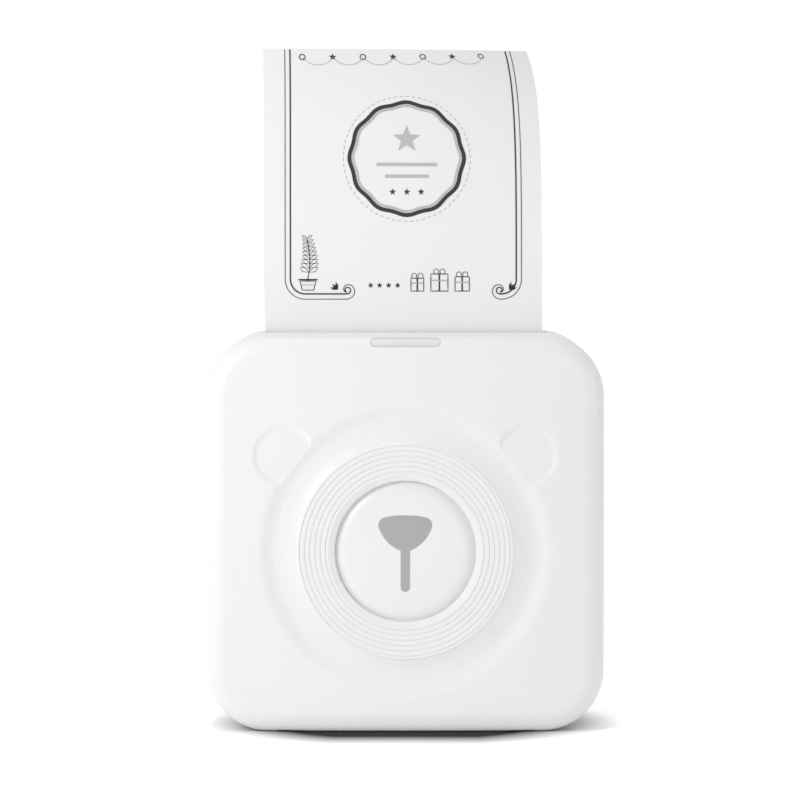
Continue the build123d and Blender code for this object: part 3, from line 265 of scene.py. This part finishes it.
finishes = {
    "case": mouldedPlastic("WhiteCase", (0.862, 0.86, 0.866), 0.36),
    "cap": mouldedPlastic("WhiteCap", (0.87, 0.868, 0.874), 0.3, grain=3200, strength=0.05),
    "mark": mouldedPlastic("GreyMark", (0.41, 0.41, 0.42), 0.42, grain=3000),
    "window": mouldedPlastic("GreyWindow", (0.73, 0.73, 0.74), 0.28, strength=0.04, coat=0.2),
    "frame": mouldedPlastic("GreyFrame", (0.55, 0.55, 0.56), 0.5, grain=1800, strength=0.2),
    "lining": mouldedPlastic("PaleLining", (0.72, 0.72, 0.73), 0.46, grain=1800, strength=0.2),
    "black": mouldedPlastic("BlackPlastic", (0.03, 0.03, 0.033), 0.45, 1900, 0.25),
    "socket": mouldedPlastic("CreamSocket", (0.7, 0.66, 0.52), 0.5),
    "steel": brushedMetal("Steel", (0.62, 0.62, 0.63), 0.3, (0.06, 1, 1)),
    "bladeSteel": brushedMetal("BladeSteel", (0.66, 0.66, 0.67), 0.26, (1, 1, 0.05)),
    "screwSteel": brushedMetal("ScrewSteel", (0.55, 0.55, 0.56), 0.34, (1, 0.2, 1), 1200),
    "motorSteel": brushedMetal("MotorSteel", (0.68, 0.67, 0.64), 0.36, (0.1, 1, 1), 400),
    "shellSteel": brushedMetal("SocketShell", (0.7, 0.7, 0.71), 0.28, (0.1, 1, 1)),
    "aluminium": brushedMetal("HeadAluminium", (0.76, 0.76, 0.78), 0.4, (0.05, 1, 1), 600),
    "ceramic": mouldedPlastic("GlazedCeramic", (0.55, 0.47, 0.38), 0.12, 700, 0.03, coat=0.6),
    "rubber": rubberMaterial("RollerRubber", (0.02, 0.02, 0.022)),
    "gear": gearMaterial("NaturalGear", (0.84, 0.81, 0.72)),
    "board": boardMaterial("GreenBoard", (0.012, 0.11, 0.04), (0.03, 0.19, 0.07)),
    "foil": foilMaterial("CellFoil", (0.5, 0.52, 0.54)),
    "tape": clothTape("FoamTape", (0.75, 0.75, 0.72)),
    "redLead": mouldedPlastic("RedLead", (0.5, 0.03, 0.02), 0.4),
    "yellowLead": mouldedPlastic("YellowLead", (0.7, 0.5, 0.06), 0.4),
    "ribbon": ribbonMaterial("AmberRibbon", (0.5, 0.22, 0.03), (0.62, 0.36, 0.1)),
    "card": paperMaterial("CardCore", (0.48, 0.36, 0.22), 0.75),
    "paper": paperMaterial("ThermalPaper", (0.868, 0.866, 0.88), 0.5),
    "rollPaper": paperMaterial("RollPaper", (0.86, 0.858, 0.868), 0.55),
    "ink": mouldedPlastic("PrintedInk", (0.025, 0.025, 0.028), 0.75, strength=0.02),
    "paleInk": mouldedPlastic("PaleInk", (0.5, 0.5, 0.5), 0.6, strength=0.02),
}

nodeFinishes = {
    "case": ["rear_case", "front_cover", "power_button"],
    "cap": ["nose_cap"],
    "mark": ["nose_mark"],
    "window": ["status_window"],
    "frame": ["chassis"],
    "lining": ["cover_lining"],
    "black": ["platen_bushes", "paper_sensor", "board_chips", "power_switch", "reset_switch"],
    "socket": ["board_sockets"],
    "steel": [
        "platen_shaft", "motor_shaft", "hinge_pins", "head_pin", "idler_post", "head_bracket",
        "head_springs",
    ],
    "bladeSteel": ["tear_bar"],
    "screwSteel": ["case_screws", "board_screws", "lining_screws", "motor_screws"],
    "motorSteel": ["stepper_motor"],
    "shellSteel": ["usb_socket"],
    "aluminium": ["heat_sink"],
    "ceramic": ["ceramic_strip"],
    "rubber": ["platen_rubber"],
    "gear": ["platen_gear", "idler_gear", "drive_pinion"],
    "board": ["main_board", "status_board", "radio_module"],
    "foil": ["battery"],
    "tape": ["battery_tape"],
    "redLead": ["battery_leads"],
    "yellowLead": ["motor_leads"],
    "ribbon": ["head_ribbon", "board_ribbon"],
    "card": ["roll_core"],
    "rollPaper": ["paper_roll"],
    "paper": ["paper_strip"],
}
for finishName, members in nodeFinishes.items():
    for member in members:
        for materialSlot in nodes[member].material_slots:
            materialSlot.material = finishes[finishName]
print("CAD nodes dressed")


# Printed sheet: from the roll, past the print line, out of the slot and back in a curl

sheetShape = {
    "width": 58.6,  # outside the slot
    "rollWidth": 58.0,
    "widenRows": 30,  # rows from one width to the other
    "shift": -0.5,  # sideways, outside the slot
    "thickness": 0.1,
    "rollCentre": (-1.0, 25.5),  # y and z
    "rollReach": 15.2,
    "lean": 18.86,  # degrees between the roll and the guide
    "wrap": 100.0,  # degrees of the roll's outer turn that belong to the sheet
    "guideReach": 2.11,
    "guideZ": 63.0,
    "webY": -4.0,
    "curlZ": 95.0,  # where the curl may begin
    "curlTurn": 22.0,  # the curl's line is turned by this in the sheet
    "curlRate": 6.0e-4,
    "curlSteps": 40,
    "topZ": 142.8,  # the cut
    "cutSearch": (100.0, 170.0),
    "columns": 48,
    "rows": 110,
    "wrapRows": 20,
    "straightRows": 10,
    "bendRows": 6,
}


def curlReach(reach):
    if reach <= 0:
        return reach, 0.0, 0.0
    rate, steps = sheetShape["curlRate"], sheetShape["curlSteps"]
    forward = back = 0.0
    for i in range(steps):
        angle = rate * ((i + 0.5) * reach / steps) ** 2 / 2
        forward += math.cos(angle) * reach / steps
        back += math.sin(angle) * reach / steps
    return forward, back, rate * reach * reach / 2


def sheetPoint(u, flatZ, lift=0.0):
    turn = math.radians(sheetShape["curlTurn"])
    sine, cosine = math.sin(turn), math.cos(turn)
    height = flatZ - sheetShape["curlZ"]
    across = u * cosine - height * sine
    forward, back, angle = curlReach(u * sine + height * cosine)
    x = across * cosine + forward * sine
    y = sheetShape["webY"] + back
    z = sheetShape["curlZ"] - across * sine + forward * cosine
    normal = Vector((math.sin(angle) * sine, -math.cos(angle), math.sin(angle) * cosine))
    return Vector((x, y, z)) + normal * lift


def endOfSheet(u):
    low, high = sheetShape["cutSearch"]
    for _ in range(40):
        middle = (low + high) / 2
        if sheetPoint(u, middle).z < sheetShape["topZ"]:
            low = middle
        else:
            high = middle
    return low


def onRoll(angle):
    turned = Vector((0, math.cos(angle), math.sin(angle)))
    return Vector((0, *sheetShape["rollCentre"])) + turned * sheetShape["rollReach"]


def onGuide(angle):
    reach = sheetShape["guideReach"]
    guide = Vector((0, sheetShape["webY"] - reach, sheetShape["guideZ"]))
    return guide + Vector((0, math.cos(angle), -math.sin(angle))) * reach


def hiddenRows():
    # Round the roll's outer turn, straight to the guide and over it
    lean, wrap = math.radians(sheetShape["lean"]), math.radians(sheetShape["wrap"])
    leaving = math.pi - lean
    count = sheetShape["wrapRows"]
    points = [onRoll(leaving + wrap * (1 - i / count)) for i in range(count)]
    count = sheetShape["straightRows"]
    points += [onRoll(leaving).lerp(onGuide(lean), i / count) for i in range(count)]
    count = sheetShape["bendRows"]
    points += [onGuide(lean * (1 - i / (count - 1))) for i in range(count)]
    return points


def buildSheet():
    shape = sheetShape
    hidden = hiddenRows()
    count, rows = len(hidden), shape["rows"]
    bm = bmesh.new()
    bmesh.ops.create_grid(bm, x_segments=shape["columns"], y_segments=rows, size=1)
    for vert in bm.verts:
        row = round((vert.co.y + 1) / 2 * rows)
        grown = min(1.0, max(0.0, (row - count) / shape["widenRows"]))
        width = shape["rollWidth"] + (shape["width"] - shape["rollWidth"]) * grown
        u = shape["shift"] * grown + vert.co.x * width / 2
        if row < count:
            vert.co = hidden[row] + Vector((u, 0, 0))
        else:
            part = (row - count + 1) / (rows - count + 1)
            vert.co = sheetPoint(u, shape["guideZ"] + part * (endOfSheet(u) - shape["guideZ"]))
    piece = newPiece("printed_sheet", bm, finishes["paper"], "base")
    thicken(piece, shape["thickness"])
    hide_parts("paper_strip")


buildSheet()
print("printed sheet made")


# Print on the sheet: thin strokes and small filled motifs of a plain party kind

printShape = {
    "lift": 0.09,  # over the sheet's middle
    "relief": 0.02,
    "step": 1.2,  # longest straight part of a stroke
}


def strokeInk(bm, points, width, closed=False):
    path = [Vector(point) for point in points]
    if closed:
        path.append(path[0])
    fine = []
    for a, b in zip(path, path[1:]):
        parts = max(1, int((b - a).length / printShape["step"]))
        fine += [a.lerp(b, i / parts) for i in range(parts)]
    fine.append(path[-1])
    last = len(fine) - 1
    strip = bmesh.ops.create_grid(bm, x_segments=1, y_segments=last, size=1)
    for vert in strip["verts"]:
        i = round((vert.co.y + 1) / 2 * last)
        if closed and i in (0, last):
            before, after = fine[-2], fine[1]
        else:
            before, after = fine[max(0, i - 1)], fine[min(last, i + 1)]
        along = (after - before).normalized()
        side = Vector((along.y, -along.x)) * vert.co.x * width / 2
        vert.co = (*(fine[i] + side), 0)


def fillInk(bm, points):
    count = len(points)
    middle = [sum(point[k] for point in points) / count for k in (0, 1)]
    disc = bmesh.ops.create_circle(bm, cap_ends=True, cap_tris=True, segments=count, radius=1)
    for vert, point in zip(disc["verts"], [middle, *points]):  # the hub comes first
        vert.co = (*point, 0)


def ringPoints(centre, radius, count, waves=0, wave=0.0):
    points = []
    for i in range(count):
        angle = 2 * math.pi * i / count
        reach = radius * (1 + wave * math.cos(waves * angle))
        points.append((centre[0] + reach * math.cos(angle), centre[1] + reach * math.sin(angle)))
    return points


def starPoints(centre, outer, inner, tips=5):
    points = []
    for i in range(2 * tips):
        reach = inner if i % 2 else outer
        angle = math.pi / 2 + math.pi * i / tips
        points.append((centre[0] + reach * math.cos(angle), centre[1] + reach * math.sin(angle)))
    return points


def arcPoints(centre, radius, start, end, count=14):
    angles = [math.radians(start + (end - start) * i / (count - 1)) for i in range(count)]
    return [(centre[0] + radius * math.cos(a), centre[1] + radius * math.sin(a)) for a in angles]


def spiralPoints(centre, outer, inner, turns, count):
    points = []
    for i in range(count):
        part = i / (count - 1)
        angle = 2 * math.pi * turns * part - math.pi / 2
        reach = outer + (inner - outer) * part
        points.append((centre[0] + reach * math.cos(angle), centre[1] + reach * math.sin(angle)))
    return points


def layInk(name, bm, material):
    for vert in bm.verts:
        vert.co = sheetPoint(vert.co.x, vert.co.y, printShape["lift"])
    bmesh.ops.recalc_face_normals(bm, faces=bm.faces)
    piece = newPiece(name, bm, material, "base")
    thicken(piece, printShape["relief"], 1.0)


borderShape = {
    "left": -25.3,
    "right": 24.5,
    "bottom": 90.0,
    "bend": 4.2,  # radius of the lower corners
    "lines": ((0.0, 0.16), (1.1, 0.3)),  # inset and width
    "cutGap": 0.2,
    "scrolls": ((1, -12.2), (-1, 19.9)),  # way round and place
    "scrollZ": 91.9,
    "scrollTurns": 0.95,
    "spirals": ((1.9, 0.45, 18, 0.16), (0.8, 0.4, 12, 0.26)),  # outer, inner, points, width
    "leafRoot": (2.0, 92.0),  # outwards from the scroll, and height
    "leafAngles": (15, 45, 75),  # degrees from upright
    "leafSize": (1.7, 0.32),  # length and half width
}


def drawBorder(dark):
    # Two thin lines run from the cut round the lower corners and end in scrolls
    shape = borderShape
    leftEnd, rightEnd = (x for _, x in shape["scrolls"])
    for inset, width in shape["lines"]:
        left, right = shape["left"] + inset, shape["right"] - inset
        bottom, bend = shape["bottom"] + inset, shape["bend"] - inset
        line = [(left, endOfSheet(left) - shape["cutGap"])]
        line += arcPoints((left + bend, bottom + bend), bend, 180, 270)
        strokeInk(dark, line + [(leftEnd, bottom)], width)
        line = [(right, endOfSheet(right) - shape["cutGap"])]
        line += arcPoints((right - bend, bottom + bend), bend, 0, -90)
        strokeInk(dark, line + [(rightEnd, bottom)], width)
    length, half = shape["leafSize"]
    for side, x in shape["scrolls"]:
        for outer, inner, count, width in shape["spirals"]:
            centre, turns = (x, shape["scrollZ"]), side * shape["scrollTurns"]
            strokeInk(dark, spiralPoints(centre, outer, inner, turns, count), width)
        root = Vector((x - side * shape["leafRoot"][0], shape["leafRoot"][1]))
        for angle in shape["leafAngles"]:
            heading = math.radians(90 + side * angle)
            along = Vector((math.cos(heading), math.sin(heading)))
            across = Vector((along.y, -along.x)) * half
            middle = root + along * length / 2
            fillInk(dark, [root, middle + across, root + along * length, middle - across])


badgeShape = {
    "centre": (0.35, 119.8),
    "scallops": {"count": 96, "waves": 12, "wave": 0.018},
    "ring": (11.9, 0.85),  # radius and width
    "band": (11.2, 0.62),
    "dashRing": (13.4, 0.15),
    "dashes": 66,
    "dashPart": 0.55,  # of the pitch
    "starRise": 4.0,
    "star": (3.0, 1.25),  # tips and hollows
    "bars": ((6.4, -1.4), (4.6, -3.9)),  # half length and height
    "barWidth": 0.7,
    "smallStars": (-3.0, 0.0, 3.0),
    "smallStarRise": -7.2,
    "smallStar": (0.75, 0.32),
}


def drawBadge(dark, pale):
    # Scalloped ring with a grey band inside, a fine dashed ring, stars and two plain bars
    shape = badgeShape
    x, z = shape["centre"]
    for ink, (radius, width) in ((dark, shape["ring"]), (pale, shape["band"])):
        strokeInk(ink, ringPoints((x, z), radius, **shape["scallops"]), width, True)
    radius, width = shape["dashRing"]
    pitch = 360 / shape["dashes"]
    for i in range(shape["dashes"]):
        dash = arcPoints((x, z), radius, pitch * i, pitch * (i + shape["dashPart"]), 3)
        strokeInk(pale, dash, width)
    fillInk(pale, starPoints((x, z + shape["starRise"]), *shape["star"]))
    for half, rise in shape["bars"]:
        strokeInk(pale, [(x - half, z + rise), (x + half, z + rise)], shape["barWidth"])
    for place in shape["smallStars"]:
        fillInk(dark, starPoints((x + place, z + shape["smallStarRise"]), *shape["smallStar"]))


footShape = {
    "stem": (-20.6, 93.8),
    "stemStep": 0.9,
    "stemSway": 0.5,
    "stemPoints": 11,
    "stemWidth": 0.18,
    "bareSteps": 2,
    "leafSize": (1.15, -0.06),  # and its change per step
    "leaf": ((0, 0), (0.8, 1.0), (1.9, 1.1), (1.3, 0.2)),
    "leafWidth": 0.13,
    "pot": ((-22.2, 93.8), (-18.8, 93.8), (-19.3, 91.9), (-21.7, 91.9)),
    "potWidth": 0.2,
    "rim": ((-22.5, 94.1), (-18.5, 94.1)),
    "rimWidth": 0.3,
    "potBand": ((-21.9, 93.0), (-19.1, 93.0)),
    "parcels": ((1.2, 2.7), (5.4, 3.6), (10.5, 3.0)),  # left side and size
    "parcelZ": 91.7,
    "parcelWidth": 0.2,
    "ribbonWidth": 0.32,
    "bandWidth": 0.3,
    "bandRise": 0.62,  # of the size
    "bow": (0.66, 0.5),
    "bowLoop": (0.56, 10),
    "bowWidth": 0.14,
    "stars": (-7.3, -5.4, -3.5, -1.6),
    "starZ": 92.9,
    "star": (0.62, 0.28),
}


def drawSprig(dark, pale):
    shape = footShape
    x, z = shape["stem"]
    stem = [
        (x + shape["stemSway"] * math.sin(i / 3), z + shape["stemStep"] * i)
        for i in range(shape["stemPoints"])
    ]
    strokeInk(dark, stem, shape["stemWidth"])
    full, change = shape["leafSize"]
    for i in range(shape["bareSteps"], shape["stemPoints"]):
        x, z = stem[i]
        size = full + change * i
        for side in (1, -1):
            leaf = [(x + side * a * size, z + b * size) for a, b in shape["leaf"]]
            strokeInk(dark, leaf, shape["leafWidth"], True)
    strokeInk(dark, shape["pot"], shape["potWidth"], True)
    strokeInk(dark, shape["rim"], shape["rimWidth"])
    strokeInk(pale, shape["potBand"], shape["potWidth"])


def drawParcel(dark, pale, x, size):
    shape = footShape
    low = shape["parcelZ"]
    middle, high, band = x + size / 2, low + size, low + shape["bandRise"] * size
    outline = [(x, low), (x + size, low), (x + size, high), (x, high)]
    strokeInk(dark, outline, shape["parcelWidth"], True)
    strokeInk(dark, [(middle, low), (middle, high)], shape["ribbonWidth"])
    strokeInk(pale, [(x, band), (x + size, band)], shape["bandWidth"])
    aside, rise = shape["bow"]
    for side in (1, -1):
        loop = ringPoints((middle + side * aside, high + rise), *shape["bowLoop"])
        strokeInk(dark, loop, shape["bowWidth"], True)


def drawFoot(dark, pale):
    # A potted sprig at the left, small stars and a row of parcels at the right
    drawSprig(dark, pale)
    for x, size in footShape["parcels"]:
        drawParcel(dark, pale, x, size)
    for x in footShape["stars"]:
        fillInk(dark, starPoints((x, footShape["starZ"]), *footShape["star"]))


garlandShape = {
    "start": -21.6,
    "pitch": 6.5,
    "count": 7,
    "drop": 1.9,  # below the cut
    "sag": (3.9, 215, 325, 9),  # radius, first and last degree, points
    "sagRise": 2.2,
    "sagWidth": 0.14,
    "star": (0.8, 0.36),
    "ring": (0.62, 12),
    "ringWidth": 0.2,
}


def drawGarland(dark, pale):
    # A string of small stars and rings just under the cut
    shape = garlandShape
    for i in range(shape["count"]):
        x = shape["start"] + shape["pitch"] * i
        z = endOfSheet(x) - shape["drop"]
        if i < shape["count"] - 1:
            centre = (x + shape["pitch"] / 2, z + shape["sagRise"])
            strokeInk(pale, arcPoints(centre, *shape["sag"]), shape["sagWidth"])
        if i % 2:
            fillInk(dark, starPoints((x, z), *shape["star"]))
        else:
            strokeInk(dark, ringPoints((x, z), *shape["ring"]), shape["ringWidth"], True)


def buildPrint():
    dark = bmesh.new()
    pale = bmesh.new()
    drawBorder(dark)
    drawBadge(dark, pale)
    drawFoot(dark, pale)
    drawGarland(dark, pale)
    layInk("print_dark", dark, finishes["ink"])
    layInk("print_pale", pale, finishes["paleInk"])


buildPrint()
print("print laid on the sheet")


# Wound paper: one long strip from the core to the outer turn

rollShape = {
    "centre": sheetShape["rollCentre"],
    "inner": 6.12,
    "outer": 14.9,
    "turns": 24,
    "stepsPerTurn": 40,
    "start": 165,  # degrees
    "width": 57.8,
    "thickness": 0.33,
    "unevenness": 0.12,  # sideways, from turn to turn
}


def buildRoll():
    shape = rollShape
    steps = shape["turns"] * shape["stepsPerTurn"]
    uneven = shape["unevenness"]
    bm = bmesh.new()
    bmesh.ops.create_grid(bm, x_segments=2, y_segments=steps, size=1)
    shifts = [random.uniform(-uneven, uneven) for _ in range(shape["turns"] + 1)]
    y, z = shape["centre"]
    for vert in bm.verts:
        step = round((vert.co.y + 1) / 2 * steps)
        part = step / steps
        angle = 2 * math.pi * step / shape["stepsPerTurn"] + math.radians(shape["start"])
        radius = shape["inner"] + part * (shape["outer"] - shape["inner"])
        turn = part * shape["turns"]
        low = int(turn)
        high = min(low + 1, shape["turns"])
        shift = shifts[low] + (turn - low) * (shifts[high] - shifts[low])
        x = vert.co.x * shape["width"] / 2 + shift
        vert.co = (x, y + radius * math.cos(angle), z + radius * math.sin(angle))
    piece = newPiece("wound_paper", bm, finishes["rollPaper"], "roll")
    thicken(piece, shape["thickness"])
    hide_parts("paper_roll")


buildRoll()
print("roll wound")


# Nose cap: the dome again, with the soft rolled rim that the plain solid leaves out

capShape = {
    "noseZ": 38.0,
    "frontY": -21.5,
    "depth": 1.64,
    "radius": 14.52,
    "domeRadius": 142.46,
    "rollStart": 11.6,
    "rollDrop": 0.85,
    "rollPower": 2.4,
    "profilePoints": 48,
    "profilePower": 1.4,  # draws the points towards the rim
    "steps": 160,
    "merge": 0.0005,
    "sharpAngle": 40,  # degrees
}


def capProfile():
    shape = capShape
    radius, dome, start = shape["radius"], shape["domeRadius"], shape["rollStart"]
    last = shape["profilePoints"] - 1
    profile = []
    for i in range(last + 1):
        r = radius * (1 - (1 - i / last) ** shape["profilePower"])
        drop = dome - math.sqrt(dome ** 2 - r * r)
        roll = max(0.0, (r - start) / (radius - start))
        profile.append((r, shape["frontY"] + drop + shape["rollDrop"] * roll ** shape["rollPower"]))
    back = shape["frontY"] + shape["depth"]
    return profile + [(radius, back), (0.0, back)]


def buildCap():
    shape = capShape
    bm = bmesh.new()
    verts = [bm.verts.new((r, y, shape["noseZ"])) for r, y in capProfile()]
    edges = [bm.edges.new(pair) for pair in zip(verts, verts[1:])]
    axis = {"axis": (0, 1, 0), "cent": (0, 0, shape["noseZ"])}
    bmesh.ops.spin(bm, geom=verts + edges, angle=2 * math.pi, steps=shape["steps"], **axis)
    bmesh.ops.remove_doubles(bm, verts=bm.verts, dist=shape["merge"])
    bmesh.ops.recalc_face_normals(bm, faces=bm.faces)
    sharp = math.radians(shape["sharpAngle"])
    for edge in bm.edges:
        if len(edge.link_faces) == 2 and edge.calc_face_angle() > sharp:
            edge.smooth = False
    piece = newPiece("domed_cap", bm, finishes["cap"], "cover")
    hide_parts("nose_cap")


buildCap()
print("nose cap turned")


# Stage, lamps and camera

def greatest(tree, first, second):
    node = tree.nodes.new("ShaderNodeMath")
    node.operation = "MAXIMUM"
    tree.links.new(first, node.inputs[0])
    tree.links.new(second, node.inputs[1])
    return node.outputs[0]


def vectorStep(tree, operation, vector, value=None):
    node = tree.nodes.new("ShaderNodeVectorMath")
    node.operation = operation
    tree.links.new(vector, node.inputs[0])
    if value:
        node.inputs[1].default_value = value
    return node.outputs["Value" if operation == "LENGTH" else "Vector"]


def seenRays(tree):
    path = tree.nodes.new("ShaderNodeLightPath")
    seen = path.outputs["Is Camera Ray"]
    for name in ("Is Glossy Ray", "Is Transmission Ray"):
        seen = greatest(tree, seen, path.outputs[name])
    return seen


def paintedShadowMask(tree, place):
    # Painted contact shadow: 0 under the case and 1 away from it, the paler of an ellipse and of
    # the foot's surroundings
    squeeze = [1 / (half * mm) for half in studio["contact"]]
    ellipse = vectorStep(tree, "LENGTH", vectorStep(tree, "MULTIPLY", place, (*squeeze, 1)))
    foot = [half * mm for half in studio["foot"]]
    gap = vectorStep(tree, "SUBTRACT", vectorStep(tree, "ABSOLUTE", place), (*foot, 0))
    gap = vectorStep(tree, "LENGTH", vectorStep(tree, "MAXIMUM", gap, (0, 0, 0)))
    footFade = [reach * mm for reach in studio["footFade"]]
    outside = spread(tree, ellipse, 0, 1, *studio["contactFade"])
    return greatest(tree, outside, spread(tree, gap, 0, 1, *footFade))


def floorMaterial():
    material = bpy.data.materials.new("StudioFloor")
    material.use_nodes = True
    tree = material.node_tree
    tree.nodes.clear()
    place = tree.nodes.new("ShaderNodeTexCoord").outputs["Object"]
    away = spread(tree, vectorStep(tree, "LENGTH", place), 0, 1, *studio["floorFade"])
    near, far = ((value,) * 3 for value in studio["floorSeen"])
    # the floor's camera colour carries a painted contact shadow, dark under and just around the
    # case
    dark = (studio["paintedShadowTone"],) * 3
    white = mixColours(tree, paintedShadowMask(tree, place), dark, mixColours(tree, away, near, far))
    colour = mixColours(tree, seenRays(tree), (studio["floorLit"],) * 3, white)
    diffuse = tree.nodes.new("ShaderNodeBsdfDiffuse")
    output = tree.nodes.new("ShaderNodeOutputMaterial")
    tree.links.new(colour, diffuse.inputs["Color"])
    tree.links.new(diffuse.outputs["BSDF"], output.inputs["Surface"])
    return material


def buildStage():
    bm = bmesh.new()
    bmesh.ops.create_grid(bm, x_segments=2, y_segments=2, size=studio["floorSize"])
    mesh = bpy.data.meshes.new("studio_floor")
    bm.to_mesh(mesh)
    bm.free()
    mesh.materials.append(floorMaterial())
    floor = bpy.data.objects.new("studio_floor", mesh)
    bpy.context.scene.collection.objects.link(floor)


def buildWorld():
    world = bpy.data.worlds.new("StudioWorld")
    bpy.context.scene.world = world
    world.use_nodes = True
    tree = world.node_tree
    background = tree.nodes["Background"]
    background.inputs["Color"].default_value = (1, 1, 1, 1)
    strength = spread(tree, seenRays(tree), studio["worldLit"], 1.0, 0, 1)
    tree.links.new(strength, background.inputs["Strength"])


def buildLamps():
    for name, (place, size, watts, colour) in studioLights.items():
        lamp = bpy.data.lights.new(name, "AREA")
        lamp.shape = "SQUARE"
        lamp.size = size * mm
        lamp.energy = watts
        lamp.color = colour
        holder = bpy.data.objects.new(name, lamp)
        holder.location = Vector(place) * mm
        aim = Vector(studio["lampAim"]) * mm - holder.location
        holder.rotation_euler = aim.to_track_quat("-Z", "Y").to_euler()
        bpy.context.scene.collection.objects.link(holder)


def buildCamera():
    data = bpy.data.cameras.new("PhotoCamera")
    data.lens = sceneView["lens"]
    data.sensor_width = sceneView["sensor"]
    data.clip_start = sceneView["clipStart"]
    camera = bpy.data.objects.new("PhotoCamera", data)
    pitch = math.radians(sceneView["pitch"])
    back = Vector((0, -math.cos(pitch), math.sin(pitch))) * sceneView["distance"]
    camera.location = (Vector(sceneView["aim"]) + back) * mm
    camera.rotation_euler = (math.pi / 2 - pitch, 0, 0)
    bpy.context.scene.collection.objects.link(camera)
    bpy.context.scene.camera = camera


buildStage()
buildWorld()
buildLamps()
buildCamera()
bpy.context.scene.view_settings.view_transform = "Standard"
print("stage set")
